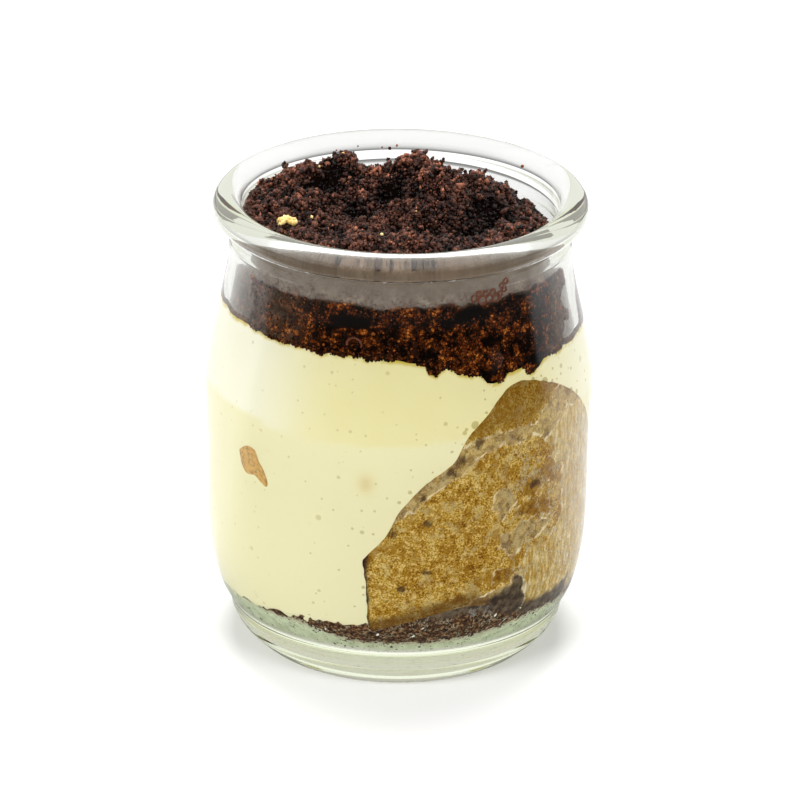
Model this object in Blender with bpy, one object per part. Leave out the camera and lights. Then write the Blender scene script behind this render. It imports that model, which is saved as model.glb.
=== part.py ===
"""A tiramisu in its small glass dessert jar.

Wet cocoa crumbs lie on the jar's thick floor, and a piece of sponge biscuit stands on them,
bent along the wall. Mascarpone cream fills the jar round it, with a small chunk of biscuit
showing at the glass, and a loose heap of cocoa crumbs lies on the cream and stands above the rim.

The numbers below are millimetres and degrees; MM turns them into metres. +Z is up, the jar's
axis is the Z axis and it stands on z = 0. Angles round the jar start at the front, -Y, and
grow towards +X.
"""

import math

import bmesh
import bpy
import numpy as np
from mathutils import Vector, noise

MM = 0.001
SEGMENTS = 44  # round the jar and round each layer of food
GAP = 0.3  # between one solid and the next

# The jar
JAR_HEIGHT = 78.0
BEAD_RADIUS = 2.4  # of the round lip
BEAD_CENTRE = 28.45  # from the axis
BELLY_RADIUS = 32.3
NECK_INNER = 26.1
FLOOR_HEIGHT = 7.6  # top of the thick base
FOOT_INNER = 22.4  # the flat ring that the jar stands on
FOOT_OUTER = 24.5
PUSH_UP = 2.6  # hollow under the base

# The crumbs on the floor: a low layer that rises under the biscuit
BASE_MIDDLE = 11.5
BASE_AT_WALL = 10.6
BASE_MOUNDS = ((22, 27, 6.4), (-30, 24, 2.0), (150, 40, 1.2))  # angle, spread, height

# The cream's upper face: lower on the right than on the left
CREAM_MIDDLE = 58.5
CREAM_LEFT = 59.4
CREAM_RIGHT = 55.6

# The sponge biscuit: its upper edge along the wall, as angle and height
BISCUIT_EDGE = (
    (-10, 25.4), (-3.5, 29.5), (1, 34.5), (9, 39.3), (17, 42.6), (21, 46.3), (29, 50.2),
    (35, 53.2), (41, 53.8), (50, 52.6), (61, 49.6), (71, 45.4), (80, 40.0), (88, 32.5), (94, 24.0),
)
BISCUIT_THICKNESS = 13.0
BISCUIT_STATIONS = 20

# The chunk of biscuit in the cream: its outline on the wall, as angle and height
CHUNK_OUTLINE = (
    (-55.8, 39.1), (-55.0, 36.9), (-52.5, 35.5), (-48.6, 35.8), (-46.4, 35.2), (-43.6, 34.6),
    (-43.1, 35.6), (-44.6, 37.4), (-46.7, 38.8), (-48.3, 40.4), (-52.1, 40.5),
)
CHUNK_DEPTH = 5.0
HOLLOW_CENTRE = (-54.0, 36.2)  # of the shallow hollow that the cream leaves beside the chunk
HOLLOW_SIZE = (5.6, 1.3, 3.4)  # half lengths along the wall, into the cream and upwards

# The heap of crumbs: x, y, spread along x, spread along y, height of each lump or dip
HEAP_AT_WALL = 74.8
HEAP_LUMPS = (
    (-9.5, 8.0, 8.5, 7.5, 5.0),
    (-9.5, 8.5, 3.0, 3.0, 2.1),
    (5.0, 6.5, 8.0, 6.5, 4.6),
    (14.5, 3.0, 6.5, 6.0, 2.4),
    (-17.0, 1.0, 5.0, 6.0, 1.0),
    (2.0, -18.0, 14.0, 3.5, 1.4),
    (5.0, -8.5, 8.0, 3.5, -1.2),
    (-1.8, 1.5, 2.4, 2.4, -2.4),
    (16.0, -2.0, 3.0, 2.5, -1.4),
)
HEAP_BACK_DROP = 5.0  # how far the heap falls away behind its crest
HEAP_BACK_FROM = 9.0  # y where it starts to fall, and
HEAP_BACK_TO = 16.0  # where it has fallen
HEAP_RINGS = 10
CLOD_SIZE = 4.5  # of the clods that roughen the heap, and
CLOD_HEIGHT = 1.0  # how much they raise it


def smooth_curve(points, steps):
    """A curve through the points (Catmull-Rom), with this many steps between each two."""
    ends = [points[0], *points, points[-1]]
    curve = []
    for before, start, end, after in zip(ends, ends[1:], ends[2:], ends[3:]):
        for step in range(steps):
            t = step / steps
            curve.append(
                tuple(
                    b + 0.5 * t * (c - a + t * (2 * a - 5 * b + 4 * c - d + t * (3 * (b - c) + d - a)))
                    for a, b, c, d in zip(before, start, end, after)
                )
            )
    curve.append(tuple(points[-1]))
    return curve


def arc(centre, radius, first, last, steps):
    """Points on an arc in (r, z), from one angle to another."""
    turns = np.radians(np.linspace(first, last, steps + 1))
    return [(centre[0] + radius * math.cos(a), centre[1] + radius * math.sin(a)) for a in turns]


def inner_curve():
    """The jar's inside as (r, z), from the middle of its floor up to the lip."""
    heel_and_wall = (
        (21.0, FLOOR_HEIGHT + 0.3), (25.0, 9.4), (27.6, 11.8), (29.0, 15.0), (29.7, 20.0),
        (29.9, 34.0), (30.1, 45.0), (29.6, 50.5), (28.6, 56.0), (27.3, 61.5), (26.3, 66.5),
        (NECK_INNER, 71.0), (NECK_INNER, JAR_HEIGHT - BEAD_RADIUS - 0.8),
    )
    return [(0.0, FLOOR_HEIGHT), (12.0, FLOOR_HEIGHT), *heel_and_wall]


def lip_curve():
    """The round lip, from its inner side over the top to the groove under it."""
    return arc((BEAD_CENTRE, JAR_HEIGHT - BEAD_RADIUS), BEAD_RADIUS, 170, -50, 8)


def outer_curve():
    """The jar's outside as (r, z), from the groove under the lip down to the foot."""
    neck_and_body = (
        (27.9, 72.6), (28.3, 70.0), (28.4, 66.5), (29.2, 62.0), (30.7, 55.5), (31.8, 50.0),
        (BELLY_RADIUS, 45.0), (31.95, 34.0), (31.9, 22.0), (31.4, 15.5), (30.2, 10.0), (28.7, 7.2),
        (28.1, 5.0), (27.2, 2.8), (25.8, 1.2),
    )
    return smooth_curve(neck_and_body, 2) + [(FOOT_OUTER, 0.0), (FOOT_INNER, 0.0)]


def base_curve():
    """The hollow under the jar, from the foot to the axis."""
    return [(20.5, 1.5), (15.0, PUSH_UP - 0.2), (0.0, PUSH_UP)]


def inset(curve, distance):
    """The curve moved into the jar's hollow by this distance."""
    points = np.array(curve)
    along = np.gradient(points, axis=0)
    along /= np.linalg.norm(along, axis=1, keepdims=True)
    moved = points + distance * np.stack([-along[:, 1], along[:, 0]], axis=1)
    moved[:, 0] = np.maximum(moved[:, 0], 0.0)
    return moved


FOOD_LIMIT = inset(inner_curve(), GAP)  # how far the food may reach, as (r, z)
LIMIT_STEPS = np.linalg.norm(np.diff(FOOD_LIMIT, axis=0), axis=1)
LIMIT_LENGTH = np.concatenate([[0.0], np.cumsum(LIMIT_STEPS)])  # along that curve from the axis


def wall(height):
    """How far from the axis the food reaches at this height."""
    return float(np.interp(height, FOOD_LIMIT[:, 1], FOOD_LIMIT[:, 0]))


def bump(distance):
    """A smooth hill, 1 in its middle and nearly 0 at a distance of 2."""
    return math.exp(-distance * distance)


def ramp(value, start, end):
    """Rises smoothly from 0 at start to 1 at end."""
    t = min(max((value - start) / (end - start), 0.0), 1.0)
    return t * t * (3.0 - 2.0 * t)


def turn_between(angle, other):
    """The angle from one direction to another, from -180 to 180."""
    return (angle - other + 180.0) % 360.0 - 180.0


def base_top(radius, angle):
    """Height of the crumbs on the floor, half-way through their gap to the cream."""
    at_wall = BASE_AT_WALL + sum(
        height * bump(turn_between(angle, middle) / spread) for middle, spread, height in BASE_MOUNDS
    )
    return BASE_MIDDLE + (at_wall - BASE_MIDDLE) * ramp(radius, 4.0, 15.0)


def cream_top(radius, angle):
    """Height of the cream, half-way through its gap to the crumbs on top."""
    right = ramp(angle, -2.0, 34.0) - ramp(angle, 100.0, 165.0)
    at_wall = CREAM_LEFT + (CREAM_RIGHT - CREAM_LEFT) * right
    return CREAM_MIDDLE + (at_wall - CREAM_MIDDLE) * ramp(radius, 2.0, 24.0)


def heap_top(radius, angle):
    """Height of the crumb heap."""
    x = radius * math.sin(math.radians(angle))
    y = -radius * math.cos(math.radians(angle))
    height = HEAP_AT_WALL - HEAP_BACK_DROP * ramp(y, HEAP_BACK_FROM, HEAP_BACK_TO)
    for lump_x, lump_y, spread_x, spread_y, rise in HEAP_LUMPS:
        height += rise * bump(math.hypot((x - lump_x) / spread_x, (y - lump_y) / spread_y))
    return height + CLOD_HEIGHT * noise.noise(Vector((x, y, height)) / CLOD_SIZE)


def edge_height(surface, angle):
    """Where a surface meets the wall."""
    height = surface(25.0, angle)
    for _ in range(4):
        height = surface(wall(height), angle)
    return height


def shade(name, colour, roughness, **settings):
    """A Principled material; settings are further sockets of the shader."""
    material = bpy.data.materials.new(name)
    material.use_nodes = True
    shader = material.node_tree.nodes["Principled BSDF"]
    shader.inputs["Base Color"].default_value = (*colour, 1.0)
    shader.inputs["Roughness"].default_value = roughness
    for socket, value in settings.items():
        shader.inputs[socket.replace("_", " ")].default_value = value
    return material


def add_object(name, mesh, material=None):
    solid = bpy.data.objects.new(name, mesh)
    bpy.context.scene.collection.objects.link(solid)
    if material:
        mesh.materials.append(material)
        mesh.shade_smooth()
        mesh.set_sharp_from_angle(angle=math.radians(50))
    else:
        solid.hide_render = True
        solid.display_type = "WIRE"
    return solid


def make_mesh(name, points, faces):
    """A mesh from points in millimetres, its normals turned outwards."""
    mesh = bpy.data.meshes.new(name)
    mesh.from_pydata([Vector(point) * MM for point in points], [], faces)
    shape = bmesh.new()
    shape.from_mesh(mesh)
    bmesh.ops.recalc_face_normals(shape, faces=shape.faces)
    bmesh.ops.triangulate(shape, faces=shape.faces)
    shape.to_mesh(mesh)
    shape.free()
    return mesh


def at(angle, radius, height):
    """The point at an angle round the jar, a distance from its axis and a height."""
    turn = math.radians(angle)
    return (radius * math.sin(turn), -radius * math.cos(turn), height)


def bridge(rings):
    """Quads between each two neighbouring rings of equally many points."""
    faces = []
    count = len(rings[0])
    for lower, upper in zip(rings, rings[1:]):
        for i in range(count):
            j = (i + 1) % count
            faces.append((lower[i], lower[j], upper[j], upper[i]))
    return faces


def round_solid(name, section, material):
    """A closed solid round the axis. section(angle) is its outline there as (r, z), from the
    middle of its underside to the middle of its top, with equally many points at each angle."""
    angles = [-180 + 360 * i / SEGMENTS for i in range(SEGMENTS)]
    sections = [section(angle) for angle in angles]
    rows = len(sections[0])
    points = [at(0, *sections[0][0]), at(0, *sections[0][-1])]
    rings = []
    for row in range(1, rows - 1):
        rings.append(range(len(points), len(points) + SEGMENTS))
        points += [at(angle, *outline[row]) for angle, outline in zip(angles, sections)]
    faces = bridge(rings)
    for i in range(SEGMENTS):
        j = (i + 1) % SEGMENTS
        faces += [(0, rings[0][j], rings[0][i]), (1, rings[-1][i], rings[-1][j])]
    return add_object(name, make_mesh(name, points, faces), material)


def make_jar():
    """One turned piece of glass: the hollow, the lip, the outside and the base in one profile."""
    profile = inner_curve() + lip_curve() + outer_curve() + base_curve()
    mesh = bpy.data.meshes.new("glass_jar")
    corners = [Vector((radius, 0.0, height)) * MM for radius, height in profile]
    mesh.from_pydata(corners, [(i, i + 1) for i in range(len(corners) - 1)], [])
    glass = shade("clear glass", (0.93, 0.97, 0.94), 0.02, Transmission_Weight=1.0, IOR=1.5)
    jar = add_object("glass_jar", mesh, glass)
    turning = jar.modifiers.new("turning", "SCREW")
    turning.axis = "Z"
    turning.steps = SEGMENTS
    turning.render_steps = SEGMENTS
    turning.use_merge_vertices = True
    turning.merge_threshold = 0.00001
    turning.use_smooth_shade = True


def make_crumb_base():
    """The crumbs on the floor: they fill the heel up to the height of base_top."""
    limit_r, limit_z = FOOD_LIMIT.T

    def section(angle):
        edge = edge_height(base_top, angle) - GAP / 2
        length = np.interp(edge, limit_z[1:], LIMIT_LENGTH[1:])
        under = [
            (float(np.interp(t, LIMIT_LENGTH, limit_r)), float(np.interp(t, LIMIT_LENGTH, limit_z)))
            for t in np.linspace(0.0, length, 7)
        ]
        inward = [part * wall(edge) for part in (0.75, 0.5, 0.25, 0.0)]
        return under + [(radius, base_top(radius, angle) - GAP / 2) for radius in inward]

    round_solid("crumb_base", section, shade("wet cocoa crumbs", (0.05, 0.03, 0.02), 0.6))


def make_cream():
    """The cream fills the jar from the lower crumbs to the upper ones."""

    def section(angle):
        low = edge_height(base_top, angle) + GAP / 2
        high = edge_height(cream_top, angle) - GAP / 2
        parts = (0.0, 0.25, 0.5, 0.75)
        under = [(part * wall(low), base_top(part * wall(low), angle) + GAP / 2) for part in parts]
        side = [(wall(z), float(z)) for z in np.linspace(low, high, 8)]
        over = [(part * wall(high), cream_top(part * wall(high), angle) - GAP / 2) for part in parts]
        return under + side + over[::-1]

    return round_solid("cream", section, shade("mascarpone cream", (0.87, 0.80, 0.52), 0.45))


def make_heap():
    """The heap of crumbs, from the cream to its uneven top."""

    def section(angle):
        low = edge_height(cream_top, angle) + GAP / 2
        high = edge_height(heap_top, angle)
        parts = (0.0, 0.25, 0.5, 0.75)
        under = [(part * wall(low), cream_top(part * wall(low), angle) + GAP / 2) for part in parts]
        side = [(wall(z), float(z)) for z in np.linspace(low, high, 5)]
        inward = [ring / HEAP_RINGS * wall(high) for ring in range(HEAP_RINGS - 1, -1, -1)]
        return under + side + [(radius, heap_top(radius, angle)) for radius in inward]

    round_solid("crumb_topping", section, shade("cocoa crumbs", (0.045, 0.018, 0.01), 0.8))


def biscuit_mesh(name, grow=0.0, outward=0.0):
    """The biscuit, bent along the wall: flat against the glass, rounded on its inner side. For the
    hollow that it leaves in the cream it grows all round and reaches outward through the side."""
    edge = smooth_curve(BISCUIT_EDGE, 4)
    edge_angles, edge_heights = zip(*edge)
    first = BISCUIT_EDGE[0][0]
    last = BISCUIT_EDGE[-1][0]
    spare = math.degrees(grow / wall(30.0))  # the growth as an angle
    points = []
    rings = []
    for step in range(BISCUIT_STATIONS + 1):
        along = step / BISCUIT_STATIONS
        angle = first + (last - first) * along
        low = edge_height(base_top, angle) + GAP / 2 - 2 * grow
        high = float(np.interp(angle, edge_angles, edge_heights)) + grow
        depth = BISCUIT_THICKNESS * (1.0 - 0.45 * abs(2.0 * along - 1.0) ** 4) + grow
        loop = [(share, -outward) for share in (0.0, 0.15, 0.4, 0.6, 0.85, 1.0)]
        if outward:
            loop = [(0.0, 0.0), *loop, (1.0, 0.0)]
        for share in (0.96, 0.85, 0.65, 0.35, 0.15, 0.04):
            loop.append((share, depth * (1.0 - abs(2.0 * share - 1.0) ** 4) ** 0.4))
        rings.append(range(len(points), len(points) + len(loop)))
        turned = angle + spare * (2.0 * along - 1.0)
        for share, inward in loop:
            height = low + share * (high - low)
            points.append(at(turned, wall(height) - inward, height))
    faces = bridge(rings) + [tuple(rings[0]), tuple(rings[-1])]
    return make_mesh(name, points, faces)


def chunk_mesh(name, grow=0.0, outward=0.0):
    """The small chunk: its outline on the wall, narrowing into the cream."""
    middle = np.mean(CHUNK_OUTLINE, axis=0)
    spare = 1.0 + grow / 2.0
    layers = ((-outward, spare), (0.35 * CHUNK_DEPTH, 0.95 * spare), (CHUNK_DEPTH + grow, 0.6 * spare))
    points = []
    rings = []
    for inward, size in layers:
        rings.append(range(len(points), len(points) + len(CHUNK_OUTLINE)))
        for corner in CHUNK_OUTLINE:
            angle, height = middle + size * (np.array(corner) - middle)
            points.append(at(float(angle), wall(height) - inward, float(height)))
    return make_mesh(name, points, bridge(rings) + [tuple(rings[0]), tuple(rings[-1])])


def hollow_mesh(name):
    """The shallow hollow beside the chunk, as an ellipsoid through the cream's side."""
    angle, height = HOLLOW_CENTRE
    shape = bmesh.new()
    bmesh.ops.create_icosphere(shape, subdivisions=2, radius=1.0)
    turn = math.radians(angle)
    middle = Vector(at(angle, wall(height), height))
    for vert in shape.verts:
        along, inward, up = (size * part for size, part in zip(HOLLOW_SIZE, vert.co))
        x = along * math.cos(turn) - inward * math.sin(turn)
        y = along * math.sin(turn) + inward * math.cos(turn)
        vert.co = (middle + Vector((x, y, up))) * MM
    mesh = bpy.data.meshes.new(name)
    shape.to_mesh(mesh)
    shape.free()
    return mesh


def cut(solid, mesh):
    """Takes the mesh out of the solid."""
    cutter = add_object(mesh.name, mesh)
    modifier = solid.modifiers.new(mesh.name, "BOOLEAN")
    modifier.operation = "DIFFERENCE"
    modifier.solver = "EXACT"
    modifier.object = cutter


for old in list(bpy.data.objects):
    bpy.data.objects.remove(old)

make_jar()
make_crumb_base()
cream = make_cream()
cut(cream, biscuit_mesh("biscuit_hollow", GAP, 1.5))
cut(cream, chunk_mesh("chunk_hollow", GAP, 1.5))
cut(cream, hollow_mesh("side_hollow"))
sponge = shade("soaked sponge biscuit", (0.42, 0.25, 0.08), 0.55)
add_object("sponge_biscuit", biscuit_mesh("sponge_biscuit"), sponge)
dry_sponge = shade("pale biscuit", (0.62, 0.38, 0.16), 0.7)
add_object("biscuit_chunk", chunk_mesh("biscuit_chunk"), dry_sponge)
make_heap()
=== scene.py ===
"""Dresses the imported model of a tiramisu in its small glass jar.

The numbers are millimetres and degrees unless a comment says otherwise, and MM turns them into
metres. +Z is up, the jar's axis is the Z axis and it stands on z = 0. Angles round the jar start
at the front, -Y, and grow towards +X.
"""

import math

import bpy
import numpy as np
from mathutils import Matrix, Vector


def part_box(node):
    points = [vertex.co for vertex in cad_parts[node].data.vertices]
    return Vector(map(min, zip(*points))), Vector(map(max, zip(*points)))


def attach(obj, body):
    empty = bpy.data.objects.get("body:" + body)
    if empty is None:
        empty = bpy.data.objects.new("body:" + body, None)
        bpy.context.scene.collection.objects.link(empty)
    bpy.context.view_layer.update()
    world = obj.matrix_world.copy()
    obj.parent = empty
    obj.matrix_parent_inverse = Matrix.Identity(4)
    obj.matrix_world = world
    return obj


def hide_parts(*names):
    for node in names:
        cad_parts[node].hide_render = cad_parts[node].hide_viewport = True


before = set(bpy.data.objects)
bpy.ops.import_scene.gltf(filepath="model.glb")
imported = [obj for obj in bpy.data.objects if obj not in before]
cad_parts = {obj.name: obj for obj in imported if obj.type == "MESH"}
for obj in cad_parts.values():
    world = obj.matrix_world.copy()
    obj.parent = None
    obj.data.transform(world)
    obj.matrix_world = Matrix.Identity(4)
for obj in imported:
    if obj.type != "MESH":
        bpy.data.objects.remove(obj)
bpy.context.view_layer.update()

MM = 0.001

# The jar, from the frame
JAR_LOW, JAR_HIGH = (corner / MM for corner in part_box("glass_jar"))
JAR_HEIGHT = JAR_HIGH.z
BELLY_RADIUS = JAR_HIGH.x
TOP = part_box("crumb_topping")[1].z / MM  # of the highest crumb

BEAD_RADIUS = 2.4  # of the round lip
BEAD_CENTRE = BELLY_RADIUS - 3.85
BEAD_HEIGHT = JAR_HEIGHT - BEAD_RADIUS
NECK_INNER = 26.1
FLOOR_HEIGHT = 7.6
FOOT_OUTER = 24.5
FOOT_INNER = 22.4
PUSH_UP = 2.6
JAR_SEGMENTS = 192
REACH = 0.12  # how far the cream reaches into the glass
REACH_MORE = 0.2  # what lies in front of the cream reaches further
LOOSE_GAP = 0.35  # air between the glass and crumbs that don't touch it


# ---------------------------------------------------------------------------------------------
# Curves and numbers


def smooth_curve(points, steps):
    """A curve through the points (Catmull-Rom), with this many steps between each two."""
    points = np.array(points, float)
    ends = np.vstack([points[:1], points, points[-1:]])
    curve = []
    for before, start, end, after in zip(ends, ends[1:], ends[2:], ends[3:]):
        for t in np.arange(steps) / steps:
            cubic = 3.0 * (start - end) + after - before
            square = 2.0 * before - 5.0 * start + 4.0 * end - after
            curve.append(start + 0.5 * t * (end - before + t * (square + t * cubic)))
    return np.vstack([curve, points[-1:]])


def arc(centre, radius, first, last, steps):
    """Points on an arc in (r, z), from one angle to another."""
    turns = np.radians(np.linspace(first, last, steps + 1))
    return np.array(centre) + radius * np.stack([np.cos(turns), np.sin(turns)], axis=1)


def ramp(value, start, end):
    """Rises smoothly from 0 at start to 1 at end."""
    t = np.clip((value - start) / (end - start), 0.0, 1.0)
    return t * t * (3.0 - 2.0 * t)


def bump(distance):
    """A smooth hill, 1 in its middle and nearly 0 at a distance of 2."""
    return np.exp(-distance * distance)


def at(angle, radius, height):
    """Points at angles round the jar, distances from its axis and heights."""
    turn = np.radians(angle)
    return np.stack(np.broadcast_arrays(radius * np.sin(turn), -radius * np.cos(turn), height), axis=-1)


def hashed(cells, seed):
    """A number from 0 to 1 for each cell of whole numbers."""
    cells = cells.astype(np.int64)
    mixed = cells[..., 0] * 73856093 ^ cells[..., 1] * 19349663 ^ cells[..., 2] * 83492791
    mixed = (mixed ^ seed * 2654435761) & 0xFFFFFFFF
    mixed = ((mixed ^ (mixed >> 15)) * 2246822519) & 0xFFFFFFFF
    mixed = ((mixed ^ (mixed >> 13)) * 3266489917) & 0xFFFFFFFF
    return (mixed ^ (mixed >> 16)) / 0xFFFFFFFF


def noise(points, size, seed=0, octaves=1):
    """Smooth noise from -1 to 1 at points, its lumps about this size."""
    total = 0.0
    weight = 1.0
    weights = 0.0
    for octave in range(octaves):
        scaled = points / size * 2.0**octave + 37.7 * octave
        cell = np.floor(scaled)
        part = scaled - cell
        part = part * part * (3.0 - 2.0 * part)
        value = 0.0
        for corner in np.ndindex(2, 2, 2):
            near = np.where(np.array(corner) == 1, part, 1.0 - part).prod(axis=-1)
            value = value + near * hashed(cell + np.array(corner), seed + octave)
        total = total + weight * (2.0 * value - 1.0)
        weights += weight
        weight *= 0.5
    return total / weights


def clods(points, size, seed=0):
    """Distance to the nearest and to the next of points strewn about this far apart, in sizes."""
    scaled = points / size
    cell = np.floor(scaled)
    first = np.full(points.shape[:-1], 9.0)
    second = first.copy()
    for offset in np.ndindex(3, 3, 3):
        other = cell + np.array(offset) - 1.0
        middle = other + np.stack([hashed(other, seed + axis) for axis in range(3)], axis=-1)
        distance = np.linalg.norm(scaled - middle, axis=-1)
        second = np.minimum(second, np.maximum(first, distance))
        first = np.minimum(first, distance)
    return first, second


# The inside of the jar as (r, z), from the middle of its floor up to the lip
INNER = smooth_curve(
    (
        (0.0, FLOOR_HEIGHT), (12.0, FLOOR_HEIGHT), (21.0, 7.9), (25.0, 9.4), (27.6, 11.8),
        (29.0, 15.0), (29.7, 20.0), (29.9, 34.0), (30.1, 45.0), (29.6, 50.5), (28.6, 56.0),
        (27.3, 61.5), (26.3, 66.5), (NECK_INNER, 71.0), (NECK_INNER, BEAD_HEIGHT - 0.8),
    ),
    6,
)
OUTER = smooth_curve(
    (
        (27.9, 72.6), (28.3, 70.0), (28.4, 66.5), (29.2, 62.0), (30.7, 55.5), (31.8, 50.0),
        (BELLY_RADIUS, 45.0), (31.95, 34.0), (31.9, 22.0), (31.4, 15.5), (30.2, 10.0), (28.7, 7.2),
        (28.1, 5.0), (27.2, 2.8), (25.8, 1.2), (FOOT_OUTER, 0.0),
    ),
    6,
)


MOULD_LINES = ((70.3, 0.06, 0.14), (4.4, 0.14, 0.3))  # fine ridges: height, rise and half width


def with_ridge(curve, height, rise, half):
    """The outside's curve, which runs down, with a fine ridge on it."""
    radius = np.interp(height, curve[::-1, 1], curve[::-1, 0])
    ridge = [(radius, height + half), (radius + rise, height), (radius, height - half)]
    above = curve[curve[:, 1] > height + 2.0 * half]
    below = curve[curve[:, 1] < height - 2.0 * half]
    return np.vstack([above, ridge, below])


def moved_in(curve, distance):
    """The inside's curve moved into the jar's hollow by this distance."""
    along = np.gradient(curve, axis=0)
    along /= np.linalg.norm(along, axis=1, keepdims=True)
    moved = curve + distance * np.stack([-along[:, 1], along[:, 0]], axis=1)
    moved[:, 0] = np.maximum(moved[:, 0], 0.0)
    return moved


def wall(height, reach=0.0):
    """The wall's distance from the axis at heights, or a little way into the glass."""
    curve = moved_in(INNER, -reach)
    return np.interp(height, curve[:, 1], curve[:, 0])


def floor_and_wall(share, top, reach):
    """Points as (r, z) at shares of the way from the floor's middle to this height on the wall."""
    curve = moved_in(INNER, -reach)
    length = np.concatenate([[0.0], np.cumsum(np.linalg.norm(np.diff(curve, axis=0), axis=1))])
    end = np.interp(top, curve[6:, 1], length[6:])
    way = np.multiply.outer(share, end)
    return np.interp(way, length, curve[:, 0]), np.interp(way, length, curve[:, 1])


# ---------------------------------------------------------------------------------------------
# Meshes


def rgb(red, green, blue):
    """A colour given as 0 to 255 for display, as Blender wants it."""
    share = np.array([red, green, blue]) / 255.0
    return (*np.where(share <= 0.04045, share / 12.92, ((share + 0.055) / 1.055) ** 2.4), 1.0)


def triangles(rows, columns, wrap):
    """Triangles over a grid of points; wrap joins the last column to the first."""
    index = np.arange(rows * columns).reshape(rows, columns)
    if wrap:
        index = np.hstack([index, index[:, :1]])
    low_left, low_right = index[:-1, :-1], index[:-1, 1:]
    high_left, high_right = index[1:, :-1], index[1:, 1:]
    lower = np.stack([low_left, low_right, high_right], axis=-1)
    upper = np.stack([low_left, high_right, high_left], axis=-1)
    return np.concatenate([lower.reshape(-1, 3), upper.reshape(-1, 3)])


def round_solid(points):
    """Points and triangles of a closed solid from rings of points, from its underside's middle
    round its outside to the middle of its top, whose first and last rings are one point each."""
    rows, columns = points.shape[:2]
    inner = points[1:-1].reshape(-1, 3)
    count = len(inner)
    faces = triangles(rows - 2, columns, wrap=True)
    ring = np.arange(columns)
    after = np.roll(ring, -1)
    low_fan = np.stack([np.full(columns, count), after, ring], axis=1)
    last = count - columns
    high_fan = np.stack([np.full(columns, count + 1), last + ring, last + after], axis=1)
    every = np.vstack([inner, points[0, :1], points[-1, :1]])
    return every, np.concatenate([faces, low_fan, high_fan])


def slab(front, back):
    """Points and triangles of a closed solid from two grids of points, its front and its back."""
    rows, columns = front.shape[:2]
    sheet = triangles(rows, columns, wrap=False)
    count = rows * columns
    index = np.arange(count).reshape(rows, columns)
    border = np.concatenate([index[0, :-1], index[:-1, -1], index[-1, :0:-1], index[:0:-1, 0]])
    after = np.roll(border, -1)
    side = np.concatenate(
        [np.stack([border, border + count, after], 1), np.stack([after, border + count, after + count], 1)]
    )
    faces = np.concatenate([sheet, sheet[:, ::-1] + count, side])
    return np.vstack([front.reshape(-1, 3), back.reshape(-1, 3)]), faces


def add_piece(name, points, faces, material, replaces=None, slot=None, **attributes):
    """A mesh piece from points in millimetres, with numbers on its points for its material."""
    corners = points[faces]
    if np.einsum("ij,ij->", corners[:, 0], np.cross(corners[:, 1], corners[:, 2])) < 0.0:
        faces = faces[:, ::-1]
    mesh = bpy.data.meshes.new(name)
    mesh.vertices.add(len(points))
    mesh.vertices.foreach_set("co", (points * MM).astype(np.float32).ravel())
    mesh.loops.add(faces.size)
    mesh.loops.foreach_set("vertex_index", faces.astype(np.int32).ravel())
    mesh.polygons.add(len(faces))
    mesh.polygons.foreach_set("loop_start", np.arange(0, faces.size, 3, dtype=np.int32))
    mesh.update(calc_edges=True)
    mesh.validate()
    mesh.shade_smooth()
    for label, values in attributes.items():
        layer = mesh.attributes.new(label, "FLOAT", "POINT")
        layer.data.foreach_set("value", np.asarray(values, np.float32).ravel())
    mesh.materials.append(material)
    piece = bpy.data.objects.new(name, mesh)
    bpy.context.scene.collection.objects.link(piece)
    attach(piece, "root")
    if replaces:
        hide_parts(replaces)
    return piece


# ---------------------------------------------------------------------------------------------
# Materials


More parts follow.
